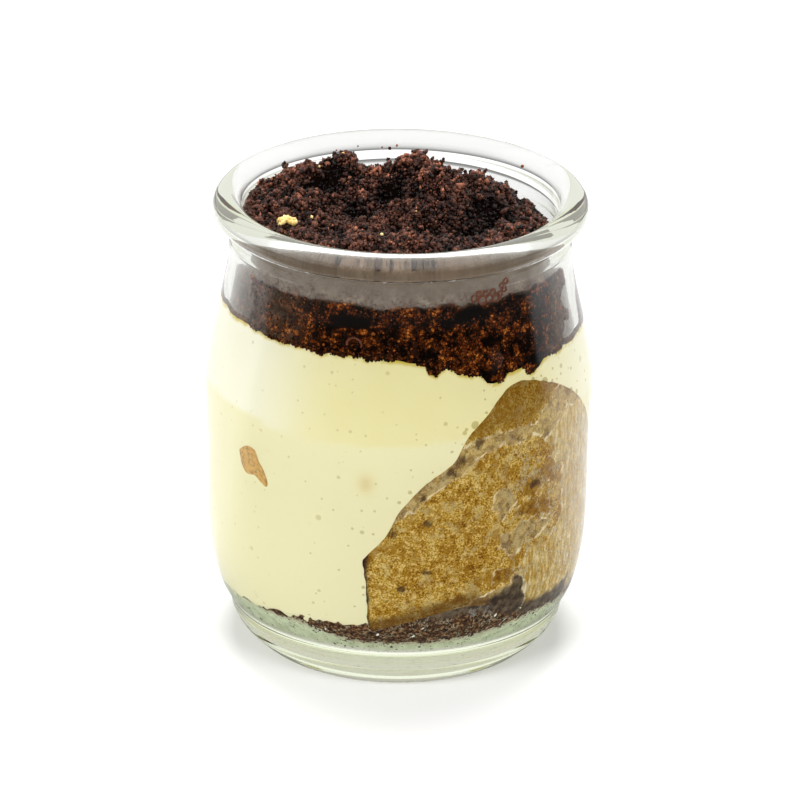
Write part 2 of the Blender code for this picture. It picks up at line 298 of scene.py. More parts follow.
class Look:
    """A Principled material, with short ways to add nodes to it."""

    def __init__(self, name, roughness, **settings):
        self.material = bpy.data.materials.new(name)
        self.material.use_nodes = True
        self.tree = self.material.node_tree
        self.shader = self.tree.nodes["Principled BSDF"]
        self.shader.inputs["Roughness"].default_value = roughness
        for socket, value in settings.items():
            self.shader.inputs[socket.replace("_", " ")].default_value = value
        self.place = self.add("TexCoord").outputs["Object"]

    def add(self, kind, inputs=None, **settings):
        """A node with its settings, its sockets linked or set."""
        node = self.tree.nodes.new("ShaderNode" + kind)
        for key, value in settings.items():
            setattr(node, key, value)
        for socket, value in (inputs or {}).items():
            if isinstance(value, bpy.types.NodeSocket):
                self.tree.links.new(value, node.inputs[socket])
            else:
                node.inputs[socket].default_value = value
        return node

    def noise(self, size, detail=2.0, roughness=0.5, place=None):
        """Noise from 0 to 1, its lumps about this many millimetres across."""
        inputs = {"Vector": place or self.place, "Scale": 1.0 / (size * MM)}
        inputs.update({"Detail": detail, "Roughness": roughness})
        return self.add("TexNoise", inputs).outputs["Fac"]

    def bend(self, size, reach):
        """A vector by which to shift points this many millimetres or less, for uneven lines."""
        noise = self.add("TexNoise", {"Vector": self.place, "Scale": 1.0 / (size * MM), "Detail": 2.0})
        middle = self.add("VectorMath", {0: noise.outputs["Color"], 1: (0.5, 0.5, 0.5)}, operation="SUBTRACT")
        scaled = self.add("VectorMath", {0: middle.outputs[0], "Scale": reach * MM}, operation="SCALE")
        return scaled.outputs[0]

    def spots(self, size, randomness=1.0, feature="F1"):
        """Distance to the nearest of points about this many millimetres apart, in sizes."""
        inputs = {"Vector": self.place, "Scale": 1.0 / (size * MM), "Randomness": randomness}
        return self.add("TexVoronoi", inputs, feature=feature).outputs["Distance"]

    def cells(self, size, place=None):
        """Cells about this many millimetres across: a chance number of each, and how far it is
        to the edge of the cell, in sizes."""
        inputs = {"Vector": place or self.place, "Scale": 1.0 / (size * MM)}
        colour = self.add("TexVoronoi", inputs).outputs["Color"]
        chance = self.add("SeparateColor", {0: colour}).outputs[0]
        return chance, self.add("TexVoronoi", inputs, feature="DISTANCE_TO_EDGE").outputs["Distance"]

    def bent(self, size, reach):
        return self.add("VectorMath", {0: self.place, 1: self.bend(size, reach)}, operation="ADD").outputs[0]

    def number(self, name):
        """A number that the mesh holds on its points."""
        return self.add("Attribute", attribute_name=name).outputs["Fac"]

    def sum(self, operation, first, second=0.0, third=0.0):
        return self.add("Math", {0: first, 1: second, 2: third}, operation=operation).outputs[0]

    def between(self, value, low, high, start=0.0, end=1.0):
        """Goes smoothly from start at low to end at high."""
        inputs = {"Value": value, "From Min": low, "From Max": high, "To Min": start, "To Max": end}
        node = self.add("MapRange", inputs, interpolation_type="SMOOTHSTEP")
        return node.outputs["Result"]

    def mix(self, share, first, second, blend="MIX"):
        node = self.add("Mix", data_type="RGBA", blend_type=blend)
        for socket, value in zip((node.inputs[0], node.inputs[6], node.inputs[7]), (share, first, second)):
            if isinstance(value, bpy.types.NodeSocket):
                self.tree.links.new(value, socket)
            else:
                socket.default_value = value
        return node.outputs[2]

    def colours(self, value, *stops):
        """A colour ramp, from pairs of place and colour."""
        node = self.add("ValToRGB", {"Fac": value})
        while len(node.color_ramp.elements) < len(stops):
            node.color_ramp.elements.new(0.5)
        for element, (place, colour) in zip(node.color_ramp.elements, stops):
            element.position = place
            element.color = colour
        return node.outputs["Color"]

    def link(self, socket, value):
        self.tree.links.new(value, self.shader.inputs[socket])

    def relief(self, height, depth):
        """Bump, this many millimetres deep where height goes from 0 to 1."""
        node = self.add("Bump", {"Height": height, "Strength": 1.0, "Distance": depth * MM})
        self.link("Normal", node.outputs["Normal"])


GLASS_DEPTH = 2.5  # bounces after which the glass gives off a painted glow of this colour in place of the light it carries
GLASS_GLOW_COLOUR = rgb(228, 230, 218)
GLASS_HALF_GLOW = 0.35  # share of that painted glow one bounce earlier


def glass_look():
    """Clear, faintly green glass. Light that has bounced about in it for long is replaced by a painted pale glow."""
    look = Look("clear glass", 0.0, Transmission_Weight=1.0, IOR=1.5)
    look.shader.inputs["Base Color"].default_value = (1.0, 1.0, 1.0, 1.0)
    inside = look.add("VolumeAbsorption", {"Color": (0.78, 0.90, 0.40, 1.0), "Density": 7.5})
    output = look.tree.nodes["Material Output"]
    look.tree.links.new(inside.outputs["Volume"], output.inputs["Volume"])
    depth = look.add("LightPath").outputs["Ray Depth"]
    half = look.sum("MULTIPLY", look.sum("GREATER_THAN", depth, GLASS_DEPTH - 1.0), GLASS_HALF_GLOW)
    deep = look.sum("MAXIMUM", look.sum("GREATER_THAN", depth, GLASS_DEPTH), half)
    # painted light: an emission that stands in for light bounced about in the glass
    glow = look.add("Emission", {"Color": GLASS_GLOW_COLOUR, "Strength": 1.0})
    surface = look.add("MixShader", {0: deep, 1: look.shader.outputs[0], 2: glow.outputs[0]})
    look.tree.links.new(surface.outputs[0], output.inputs["Surface"])
    return look.material


def cream_look():
    look = Look("mascarpone cream", 0.5, Specular_IOR_Level=0.1)
    cloud = look.noise(9.0, 3.0)
    colour = look.colours(cloud, (0.35, rgb(243, 234, 178)), (0.7, rgb(245, 237, 188)))
    # painted light: the cream is painted paler towards its left side, and less towards its right, as if more brightly
    # lit there
    colour = look.mix(look.number("pale"), colour, rgb(252, 249, 230))
    lower = look.number("lower")
    colour = look.mix(lower, colour, rgb(246, 240, 200))
    near = look.number("bubbly")
    for size, radius in ((0.9, -0.02), (1.7, 0.1), (3.2, 0.08), (8.0, 0.055)):
        some = look.between(look.noise(1.6 * size), 0.36, 0.58)
        reach = look.sum("MULTIPLY", look.sum("MULTIPLY_ADD", near, 0.12, radius), look.sum("ADD", some, 0.2))
        inside = look.between(look.sum("SUBTRACT", look.spots(size), reach), -0.02, 0.01, 1.0, 0.0)
        strength = look.sum("MULTIPLY_ADD", near, 0.35, 0.3)
        colour = look.mix(look.sum("MULTIPLY", inside, strength), colour, rgb(176, 156, 70))
    glow = look.sum("MULTIPLY", look.number("glow"), look.between(look.noise(1.8, 2.0), 0.4, 0.6, 0.2, 0.9))
    colour = look.mix(glow, colour, rgb(214, 190, 66))
    colour = look.mix(look.number("stain"), colour, rgb(222, 196, 126))
    look.link("Base Color", colour)
    look.relief(look.noise(1.2, 3.0), 0.03)
    return look.material


def crumb_look(name, dark, middle, light, roughness=0.75, shine=0.0):
    look = Look(name, roughness, Specular_IOR_Level=shine)
    tone = look.number("tone")
    grain = look.noise(0.5, 2.0)
    shade = look.sum("MULTIPLY_ADD", grain, 0.5, look.sum("SUBTRACT", tone, 0.25))
    colour = look.colours(shade, (0.1, dark), (0.5, middle), (0.95, light))
    look.relief(look.noise(0.25, 2.0), 0.06)
    return look, colour


def grain_look(name, dark, middle, light, roughness, shine):
    look, colour = crumb_look(name, dark, middle, light, roughness, shine)
    look.link("Base Color", colour)
    return look.material


def core_look():
    """Cocoa crumb, and where it is pressed against the glass, moist granules, darkened by painted shade in the gaps
    between them and in hollows.
    """
    look, colour = crumb_look("cocoa crumb", rgb(10, 5, 4), rgb(44, 24, 18), rgb(84, 48, 34))
    place = look.bent(0.5, 0.35)
    chance, edge = look.cells(0.52, place)
    fine_chance, fine_edge = look.cells(0.26, place)
    clump = look.noise(1.9, 3.0, 0.6)
    tone = look.sum("MULTIPLY_ADD", chance, 0.5, look.sum("MULTIPLY", fine_chance, 0.25))
    tone = look.sum("ADD", tone, look.sum("MULTIPLY_ADD", clump, 1.6, -0.72))
    granule = look.colours(
        tone, (0.1, rgb(14, 5, 2)), (0.4, rgb(60, 27, 9)), (0.68, rgb(126, 61, 20)), (0.95, rgb(204, 120, 50))
    )
    # painted shade: near black between the granules and where the clumps are low
    gap = look.between(edge, 0.02, 0.16, 1.0, 0.0)
    gap = look.sum("MAXIMUM", gap, look.between(clump, 0.5, 0.42))
    granule = look.mix(gap, granule, rgb(9, 4, 2))
    # painted shade: hollows in the crumbs, painted near black
    granule = look.mix(look.number("hollow"), granule, rgb(8, 4, 2))
    colour = look.mix(look.number("pressed"), colour, granule)
    # painted reflection: a paler grey haze over the crumbs at the sides and in the neck, with dark specks on it
    dust = look.colours(look.noise(2.2, 5.0, 0.7), (0.35, rgb(84, 62, 48)), (0.65, rgb(134, 115, 99)))
    speckled = look.number("speckled")
    dust = look.mix(look.sum("MULTIPLY_ADD", speckled, 0.7, 0.3), rgb(108, 90, 76), dust)
    specks = look.sum("MULTIPLY", speckled, look.between(fine_chance, 0.55, 0.85, 0.0, 0.7))
    dust = look.mix(specks, dust, rgb(74, 46, 32))
    colour = look.mix(look.number("dusty"), colour, dust)
    look.link("Base Color", colour)
    return look.material


def biscuit_look():
    """Golden sponge, full of pores, with films of coffee and cream between it and the glass."""
    look = Look("soaked sponge biscuit", 0.6, Specular_IOR_Level=0.05)
    fine = look.noise(0.3, 3.0, 0.75)
    mottle = look.noise(1.2, 4.0, 0.65)
    broad = look.noise(5.0, 3.0, 0.6)
    shade = look.sum("MULTIPLY_ADD", mottle, 0.32, look.sum("MULTIPLY", fine, 0.5))
    shade = look.sum("MULTIPLY_ADD", broad, 0.18, shade)
    colour = look.colours(
        shade, (0.39, rgb(98, 54, 4)), (0.46, rgb(170, 120, 24)), (0.52, rgb(210, 168, 66)), (0.59, rgb(248, 222, 148))
    )
    tan = look.between(look.noise(3.0, 3.0, 0.6, look.bent(2.0, 6.0)), 0.53, 0.62, 0.0, 0.55)
    colour = look.mix(tan, colour, rgb(222, 198, 132))
    ochre = look.between(look.noise(3.6, 3.0, 0.6, look.bent(2.5, 8.0)), 0.52, 0.62, 0.0, 0.6)
    colour = look.mix(ochre, colour, rgb(158, 108, 12))
    colour = look.mix(look.number("lobe"), colour, rgb(124, 84, 6))
    film = look.sum("MULTIPLY", look.number("film"), look.between(mottle, 0.35, 0.65, 0.75, 0.35))
    coffee = look.colours(look.noise(1.7, 4.0, 0.65), (0.42, rgb(124, 104, 84)), (0.56, rgb(208, 186, 138)))
    colour = look.mix(film, colour, coffee)
    # the strip: the biscuit's own paler colour, with vertical streaks that are partly painted reflection of the glass
    streaks = look.add("Mapping", {"Vector": look.place, "Scale": (1.0, 1.0, 0.28)}).outputs[0]
    streak = look.noise(0.7, 3.0, 0.7, streaks)
    pale = look.colours(streak, (0.4, rgb(186, 142, 56)), (0.52, rgb(222, 192, 116)), (0.63, rgb(252, 238, 192)))
    # painted highlights: white glints in the strip
    painted_glints = look.sum("LESS_THAN", look.spots(0.9), look.sum("MULTIPLY_ADD", broad, 0.6, -0.12))
    pale = look.mix(look.sum("MULTIPLY", painted_glints, 0.7), pale, rgb(255, 250, 232))
    colour = look.mix(look.sum("MULTIPLY", look.number("strip"), 0.7), colour, pale)
    gold = look.colours(mottle, (0.35, rgb(110, 66, 6)), (0.65, rgb(184, 134, 36)))
    colour = look.mix(look.sum("MULTIPLY", look.number("gold"), 0.8), colour, gold)
    holes = look.sum("LESS_THAN", look.spots(1.2), look.sum("MULTIPLY_ADD", broad, 0.5, -0.12))
    colour = look.mix(look.sum("MULTIPLY", holes, 0.55), colour, rgb(88, 60, 26))
    vein = look.sum("ABSOLUTE", look.sum("SUBTRACT", look.noise(3.4, 4.0, 0.6), 0.5))
    veined = look.number("veined")
    shade = look.sum("MULTIPLY", look.between(vein, 0.012, 0.05, 0.35, 0.0), veined)
    colour = look.mix(shade, colour, rgb(116, 84, 44))
    bright = look.sum("MULTIPLY", look.between(vein, 0.004, 0.026, 0.45, 0.0), veined)
    colour = look.mix(bright, colour, rgb(236, 220, 176))
    # darker towards its lower edge, above the crumbs
    colour = look.mix(look.number("darker_low"), colour, rgb(92, 56, 18))
    wet = look.colours(look.noise(1.2, 4.0), (0.4, rgb(52, 42, 36)), (0.65, rgb(112, 98, 84)))
    colour = look.mix(look.number("smeared"), colour, wet)
    line = look.between(look.number("rim"), 0.06, 0.3, 1.0, 0.0)
    uneven = look.between(look.noise(2.2, 3.0), 0.42, 0.6, 0.15, 1.0)
    colour = look.mix(look.sum("MULTIPLY", line, uneven), colour, rgb(250, 236, 196))
    colour = look.mix(look.number("dark"), colour, rgb(58, 34, 26))
    look.link("Base Color", colour)
    look.relief(fine, 0.3)
    return look.material


def base_look():
    """Dark crumbs above, and below them glass that is misted by the wet, with specks on it."""
    look = Look("wet cocoa crumbs", 0.5, Specular_IOR_Level=0.05)
    above = look.number("above")
    ragged = look.sum("MULTIPLY_ADD", look.noise(1.1, 5.0, 0.7), 4.4, -2.2)
    height = look.sum("ADD", above, ragged)
    grain = look.noise(0.5, 3.0, 0.6)
    crumbs = look.colours(grain, (0.35, rgb(22, 13, 9)), (0.52, rgb(74, 50, 34)), (0.66, rgb(160, 120, 84)))
    edges = look.cells(1.5, look.bent(0.5, 1.6))[1]
    thin = look.between(edges, 0.01, 0.035, 1.0, 0.0)
    here = look.between(look.noise(1.3, 2.0), 0.48, 0.56)
    crumbs = look.mix(look.sum("MULTIPLY", thin, here), crumbs, rgb(196, 186, 160))
    mist = look.colours(look.noise(1.4, 4.0, 0.6), (0.3, rgb(180, 190, 160)), (0.7, rgb(222, 230, 202)))
    # painted light: the floor's underside, seen through the glass base, is painted near white for the light that the
    # base carries
    mist = look.mix(look.number("floor"), mist, rgb(244, 240, 238))
    pink = look.between(above, -1.0, 0.4)
    mist = look.mix(look.sum("MULTIPLY", pink, 0.6), mist, rgb(170, 144, 124))
    crowd = look.between(above, -5.0, 0.5, 0.14, 0.42)
    for size in (0.6, 1.1):
        speck = look.sum("LESS_THAN", look.spots(size), look.sum("MULTIPLY", crowd, look.noise(3.0)))
        mist = look.mix(speck, mist, rgb(52, 36, 28))
    smeared = look.colours(look.noise(1.2, 4.0), (0.4, rgb(58, 48, 42)), (0.65, rgb(122, 106, 88)))
    crumbs = look.mix(look.number("smeared"), crumbs, smeared)
    colour = look.mix(look.between(height, -0.12, 0.12), mist, crumbs)
    look.link("Base Color", colour)
    look.relief(grain, 0.12)
    return look.material


def plain_look(name, colour, roughness):
    look = Look(name, roughness)
    grain = look.noise(0.6, 3.0)
    dark = tuple(0.55 * part for part in colour[:3]) + (1.0,)
    look.link("Base Color", look.colours(grain, (0.3, dark), (0.6, colour)))
    look.relief(look.noise(0.4, 2.0), 0.08)
    return look.material


# ---------------------------------------------------------------------------------------------
# The jar


def make_jar():
    """The glass, turned from its profile."""
    lip = arc((BEAD_CENTRE, BEAD_HEIGHT), BEAD_RADIUS, 170, -50, 40)
    base = smooth_curve(((FOOT_INNER, 0.0), (20.5, 1.5), (15.0, PUSH_UP - 0.2), (0.0, PUSH_UP)), 4)
    outside = OUTER
    for line in MOULD_LINES:
        outside = with_ridge(outside, *line)
    profile = np.vstack([INNER, lip, outside, base])
    angles = np.linspace(0.0, 360.0, JAR_SEGMENTS, endpoint=False)
    radii, heights = profile.T
    points = at(angles[None, :], radii[:, None], heights[:, None])
    add_piece("jar", *round_solid(points), glass_look(), "glass_jar", "jar_glass")


# ---------------------------------------------------------------------------------------------
# The food's surfaces

BASE_MIDDLE = 11.5
BASE_AT_WALL = 10.6
BASE_DARK_FROM = 9.4  # below this the glass is misted
BASE_MOUNDS = ((22, 27, 6.4), (-30, 24, 2.0), (150, 40, 1.2))  # angle, spread, height

CREAM_MIDDLE = 58.5
CREAM_LEFT = 59.4
CREAM_RIGHT = 55.6

BISCUIT_EDGE = (
    (-10, 25.4), (-3.5, 29.5), (1, 34.5), (9, 39.3), (17, 42.6), (21, 46.3), (29, 50.2),
    (35, 53.2), (41, 53.8), (50, 52.6), (61, 49.6), (71, 45.4), (80, 40.0), (88, 32.5), (94, 24.0),
)

CHUNK_OUTLINE = (
    (-55.8, 39.1), (-55.0, 36.9), (-52.5, 35.5), (-48.6, 35.8), (-46.4, 35.2), (-43.6, 34.6),
    (-43.1, 35.6), (-44.6, 37.4), (-46.7, 38.8), (-48.3, 40.4), (-52.1, 40.5),
)

HEAP_AT_WALL = 74.8
HEAP_LUMPS = (  # x, y, spreads in x and y, height
    (-9.5, 8.0, 8.5, 7.5, 4.4),
    (-10.3, 8.5, 2.8, 3.0, 2.6),
    (-17.5, 7.5, 3.6, 5.0, 1.0),
    (5.0, 6.5, 8.0, 6.5, 4.0),
    (1.6, 8.0, 3.4, 4.5, 1.4),
    (14.5, 3.0, 6.5, 6.0, 2.0),
    (-17.0, 1.0, 5.0, 6.0, 0.6),
    (-5.4, 8.0, 2.2, 7.0, -1.6),
    (20.5, 4.0, 4.4, 8.0, -3.0),
    (2.0, -18.0, 14.0, 3.5, 1.4),
    (5.0, -8.5, 8.0, 3.5, -1.6),
)
HEAP_PITS = (  # the same, of pits, which are also painted darker as shade
    (-1.8, 2.4, 2.8, 2.8, -3.0),
    (15.0, -2.0, 4.0, 3.2, -2.0),
    (3.2, -10.0, 3.0, 3.0, -3.0),
    (11.0, -8.6, 3.4, 2.8, -2.6),
    (-12.5, 4.2, 3.4, 2.6, -2.0),
    (-7.0, -3.5, 2.4, 2.4, -1.4),
)
HEAP_BACK_DROP = 5.0
HEAP_BACK_FROM = 9.0
HEAP_BACK_TO = 16.0
HEAP_RINGS = 110
HEAP_SKIN = 0.3  # thickness of the grains over the core
CLOD_SIZES = ((5.6, 1.0), (2.6, 1.3), (1.2, 0.7))  # how far apart they are and how high
CLOD_MEAN = 1.35  # their mean height
# angle, height, half angle and half height of hollows at the glass, where the crumbs are painted dark as shade
WALL_SHADED_HOLLOWS = ((-17.0, 65.3, 8.0, 1.2), (24.0, 66.5, 7.0, 1.0), (-44.0, 64.5, 5.0, 0.8))
SIDE_LOOSE = (70.0, 88.0)  # nor do they between these angles
SIDE_HAZE = (54.0, 72.0)  # between which they get a painted reflection haze
LEFT_LOOSER = 12.0  # and sooner by this angle at the left
LEFT_HAZE = (26.0, 46.0)  # which gets more of the painted reflection haze too
NECK_LOOSE_FROM = 67.6  # above this the crumbs don't touch the glass
FOOD_SEGMENTS = 480


def turn_between(angle, other):
    """The angle from one direction to another, from -180 to 180."""
    return (angle - other + 180.0) % 360.0 - 180.0


def base_edge(angle):
    """Where the lower crumbs end at the wall."""
    return BASE_AT_WALL + sum(
        height * bump(turn_between(angle, middle) / spread) for middle, spread, height in BASE_MOUNDS
    )


def cream_edge(angle):
    """Where the cream ends at the wall."""
    right = ramp(angle, -2.0, 34.0) - ramp(angle, 100.0, 165.0)
    return CREAM_LEFT + (CREAM_RIGHT - CREAM_LEFT) * right


def crumb_edge(angle):
    """Where the upper crumbs end at the wall: an uneven line, with clumps that hang down."""
    rim = at(angle, 28.5, 60.0)
    hang = ramp(noise(rim, 2.6, 46), 0.0, 0.35) * ramp(angle, 0.0, 12.0) * ramp(angle, 62.0, 45.0)
    return cream_edge(angle) + 0.3 + 0.5 * noise(rim, 1.6, 45, 2) - 1.3 * hang


def heap_height(x, y):
    """Height of the heap without its grain."""
    height = HEAP_AT_WALL - HEAP_BACK_DROP * ramp(y, HEAP_BACK_FROM, HEAP_BACK_TO)
    for lump_x, lump_y, spread_x, spread_y, rise in HEAP_LUMPS + HEAP_PITS:
        height = height + rise * bump(np.hypot((x - lump_x) / spread_x, (y - lump_y) / spread_y))
    right_back = ramp(x, 15.0, 22.0) * ramp(y, -10.0, -2.0)
    return height - 4.0 * right_back * ramp(np.hypot(x, y), 22.0, 25.5)


def food_angles():
    return np.linspace(-180.0, 180.0, FOOD_SEGMENTS, endpoint=False)


def make_cream():
    """The cream, from the lower crumbs to the upper ones."""
    angles = food_angles()
    low = base_edge(angles) - 0.8
    high = crumb_edge(angles) + 0.15
    share = np.concatenate([np.linspace(0.0, 0.94, 42), np.linspace(0.95, 1.0, 18)])[:, None]
    heights = low + (high - low) * share
    side = at(angles, wall(heights, REACH), heights)
    inward = np.array([0.0, 0.3, 0.6, 0.9])[:, None]
    under = at(angles, inward * wall(low, REACH), BASE_MIDDLE + (low - BASE_MIDDLE) * inward)
    over = at(angles, inward * wall(high, REACH), CREAM_MIDDLE + (high - CREAM_MIDDLE) * inward)
    points = np.concatenate([under, side, over[::-1]])
    every, faces = round_solid(points)
    height = every[:, 2]
    angle = np.degrees(np.arctan2(every[:, 0], -every[:, 1]))
    edge_angles, edge_heights = smooth_curve(BISCUIT_EDGE, 4).T
    above = height - np.interp(angle, edge_angles, edge_heights)
    beside = np.where(angle < -10, (-10 - angle) * 0.52, 0.0)
    distance = np.hypot(np.maximum(above, 0.0) * 0.7, beside)
    bubbly = np.where(angle < 100, np.exp(-distance / 4.0), 0.0)
    fold = 45.8 + 0.6 * np.sin(np.radians(angle) * 4.0)
    lower = ramp(height, fold + 0.3, fold - 0.2)
    stain = 0.6 * bump(np.hypot((angle + 9.5) * 0.52 / 1.3, (height - 39.0) / 1.6))
    add_piece(
        "cream_filling", every, faces, cream_look(), "cream", "cream",
        bubbly=bubbly, lower=lower, stain=stain, glow=ramp(height, crumb_edge(angle) - 0.9, crumb_edge(angle) - 0.2),
        # pale: painted light, paler towards the left side and less towards the right
        pale=np.maximum(ramp(-angle, 15.0, 55.0) * ramp(-angle, 170.0, 120.0), 0.7 * ramp(angle, 35.0, 75.0) * ramp(angle, 170.0, 120.0)),
    )


def make_crumb_base(rng):
    """The wet crumbs on the floor: patches of them cling to the glass, with air between."""
    angles = food_angles()
    rim = at(angles, 29.0, 12.0)
    edge = base_edge(angles) + 0.9 * noise(rim, 1.6, 3, 2) + 0.5 * noise(rim, 0.7, 5)
    share = np.linspace(0.0, 1.0, 56)
    radii, heights = floor_and_wall(share, edge, 0.0)
    place = at(angles, radii, heights)
    pocket = ramp(np.abs(noise(place, 2.0, 41, 2)), 0.09, 0.02) * ramp(noise(place, 2.6, 47, 2), 0.1, 0.2)
    pocket *= ramp(heights, 9.6, 10.4)
    gap = (LOOSE_GAP + REACH_MORE) * pocket - REACH_MORE
    shrink = 1.0 - gap * 0.7 / np.maximum(radii, 6.0)
    under = at(angles, radii * shrink, heights + gap * ramp(heights, 14.0, 9.0))
    inward = np.array([0.0, 0.3, 0.6, 0.9])[:, None]
    over = at(angles, inward * wall(edge, REACH), BASE_MIDDLE + (edge - BASE_MIDDLE) * inward)
    every, faces = round_solid(np.concatenate([under, over[::-1]]))
    angle = np.degrees(np.arctan2(every[:, 0], -every[:, 1]))
    above = every[:, 2] - BASE_DARK_FROM - 1.5 * bump(turn_between(angle, 52.0) / 22.0)
    above -= 2.0 * ramp(-angle, 12.0, 34.0) * ramp(-angle, 170.0, 120.0)
    under_biscuit = ramp(angle, 4.0, 16.0) * ramp(angle, 62.0, 50.0)
    top = base_edge(angle) + 1.2 * noise(every, 2.2, 43, 4)
    smeared = 0.85 * under_biscuit * ramp(every[:, 2], top - 2.8, top - 2.0)
    add_piece(
        "lower_crumbs", every, faces, base_look(), "crumb_base", "wet_crumbs",
        above=above, smeared=smeared, floor=ramp(every[:, 2], 8.5, 7.9),
    )


def inside_outline(x, y, outline):
    """Signed distance from points to a closed outline, positive inside."""
    outline = np.array(outline, float)
    after = np.roll(outline, -1, axis=0)
    nearest = np.full(x.shape, 1e9)
    inside = np.zeros(x.shape, bool)
    for (ax, ay), (bx, by) in zip(outline, after):
        way = np.clip(((x - ax) * (bx - ax) + (y - ay) * (by - ay)) / ((bx - ax) ** 2 + (by - ay) ** 2), 0, 1)
        nearest = np.minimum(nearest, np.hypot(x - ax - way * (bx - ax), y - ay - way * (by - ay)))
        crosses = (ay > y) != (by > y)
        with np.errstate(divide="ignore", invalid="ignore"):
            where = ax + (y - ay) * (bx - ax) / (by - ay)
        inside ^= crosses & (x < where)
    return np.where(inside, nearest, -nearest)


AROUND = math.radians(1.0) * 29.9  # millimetres along the wall for a degree

FILMS = (
    (
        (12, 38), (17, 39), (20.5, 40.5), (24.5, 42.7), (34, 44), (41, 43.8), (46, 44.4), (50, 42.6),
        (53.5, 43.7), (58.5, 45.2), (61, 47.3), (64, 46), (71, 46), (66, 49), (58.5, 50.6), (53, 49.4),
        (46, 46.4), (36, 46.6), (26, 46), (20, 45), (12, 42), (3, 38), (-4, 31), (2, 33),
    ),
    ((31.5, 36), (37, 36), (39, 33.6), (36.5, 31.7), (34, 30.5), (30, 33.2)),
    (
        (48, 28.6), (57.5, 28), (50, 26), (42, 25), (38, 23.4), (32.5, 25.3), (33.5, 27.3), (40, 29),
    ),
    (
        (41, 21.3), (42, 19), (44, 15), (44.3, 12), (37, 14), (25, 13), (10, 13), (20, 16.2),
        (30, 18), (36, 18.5), (39.5, 20),
    ),
)
GOLDS = (
    (
        (39.5, 36), (40, 37), (43.7, 37.4), (49, 37.8), (50.6, 38.8), (54, 38.6), (59.4, 35.7),
        (60.4, 33), (54, 34), (49.4, 34.8), (47, 33.6), (42.5, 33.5),
    ),
    (
        (38.8, 31.2), (39.7, 32.8), (44, 32.8), (50.4, 33), (52.7, 32.2), (51.5, 30.8), (55.3, 29),
        (51, 29), (44.4, 29.8),
    ),
    ((30, 19.2), (31.2, 21.4), (35, 21.8), (38.5, 21.2), (36.6, 19.6)),
)
BUBBLES = (
    (25.2, 45.5, 0.42), (19.6, 42.9, 0.84), (16.6, 40.4, 0.75), (7.7, 36.6, 0.48), (-1.6, 30.2, 0.9),
    (10.0, 32.0, 0.66), (9.2, 23.2, 0.6), (21.4, 37.7, 0.3), (0.0, 33.9, 0.45), (57.7, 39.7, 0.25),
    (0.8, 20.4, 0.6), (46.5, 35.5, 0.9),
)
STRIP = (
    (50, 42.6), (53.5, 43.7), (58.5, 45.2), (61, 47.3), (64, 46), (71, 46), (100, 46), (100, 8),
    (44.3, 8), (44.3, 13.4), (43.9, 17.5), (41.5, 20.2), (42, 22.4), (45, 24), (49.8, 23),
    (53.2, 23.6), (56.8, 24.8), (60, 26.8), (61, 33), (60, 36), (54, 40),
)
SMEAR = (
    (8, 12), (18, 13.6), (26, 14.8), (31, 16.6), (36, 18.4), (39.8, 19.8), (42.6, 19.4), (44, 16.5),
    (44.6, 14.2), (52, 13.6), (60, 14), (70, 14.4), (70, 8), (8, 8),
)
LOBE = ((20, 45), (26, 46), (36, 46.6), (46, 46.4), (53, 49.4), (58.5, 50.6), (60, 58), (15, 58))


def biscuit_marks(angle, height, place):
    """The marks on the biscuit's face, as numbers for its material."""
    x = angle * AROUND + 1.1 * noise(place, 1.4, 11, 4)
    y = height + 1.1 * noise(place, 1.4, 12, 4)

    def distance(outline):
        return inside_outline(x, y, [(turn * AROUND, z) for turn, z in outline])

    film = np.max([distance(outline) for outline in FILMS], axis=0)
    gold = np.max([distance(outline) for outline in GOLDS], axis=0)
    strip = distance(STRIP)
    rim = np.minimum(np.minimum(np.abs(film), np.abs(strip)), np.abs(gold) + 0.1)
    left = (angle + 10.0) * AROUND
    edge = ramp(left + 0.8 * noise(place, 1.8, 13, 2), 1.2, 0.3)
    for turn, z, size in BUBBLES:
        away = np.hypot(x - turn * AROUND, y - z) / size
        edge = np.maximum(edge, 0.8 * ramp(away + 0.3 * noise(place, 0.6, 14), 1.2, 0.8))
    return {
        "film": ramp(film, -0.1, 0.3),
        "gold": ramp(gold, -0.2, 0.4),
        "strip": ramp(strip, -0.1, 0.4),
        "lobe": 0.6 * ramp(distance(LOBE), -1.0, 1.5),
        "rim": rim,
        "veined": ramp(angle + 4.0 * noise(place, 4.0, 15, 2), 30.0, 42.0) * ramp(height, 13.0, 17.0) * ramp(height, 46.0, 40.0),
        "darker_low": 0.75 * ramp(height - base_edge(angle) + 1.4 * noise(place, 2.0, 16, 3), 2.2, 0.2),
        "smeared": 0.9 * ramp(distance(SMEAR), -0.2, 0.5),
        "dark": edge,
    }


def make_biscuit():
    """The soaked biscuit, its face pressed against the glass."""
    columns = 160
    rows = 100
    edge_angles, edge_heights = smooth_curve(BISCUIT_EDGE, 4).T
    angles = np.linspace(edge_angles[0], edge_angles[-1], columns)
    rim = at(angles, 29.9, 0.0)
    low = base_edge(angles) - 1.0
    high = np.interp(angles, edge_angles, edge_heights) + 0.25 * noise(rim, 1.4, 21, 2)
    share = np.linspace(0.0, 1.0, rows)[:, None]
    heights = low + (high - low) * share
    turned = angles + (25.0 - heights) * 0.12 * ramp(angles, 0.0, -10.0)
    turned = turned + 1.1 * noise(at(angles, 30.0, heights), 2.2, 22, 3) * ramp(angles, -6.0, -10.0)
    reach = 0.5 * (REACH + REACH_MORE)
    front = at(turned, wall(heights, reach), heights)
    depth = 6.0 * (1.0 - np.abs(2.0 * share - 1.0) ** 4) ** 0.4 + 0.8
    back = at(turned, wall(heights, reach) - depth, heights)
    every, faces = slab(front, back)
    place = every
    angle = np.degrees(np.arctan2(every[:, 0], -every[:, 1]))
    marks = biscuit_marks(angle, every[:, 2], place)
    add_piece("soaked_biscuit", every, faces, biscuit_look(), "sponge_biscuit", "soaked_sponge", **marks)


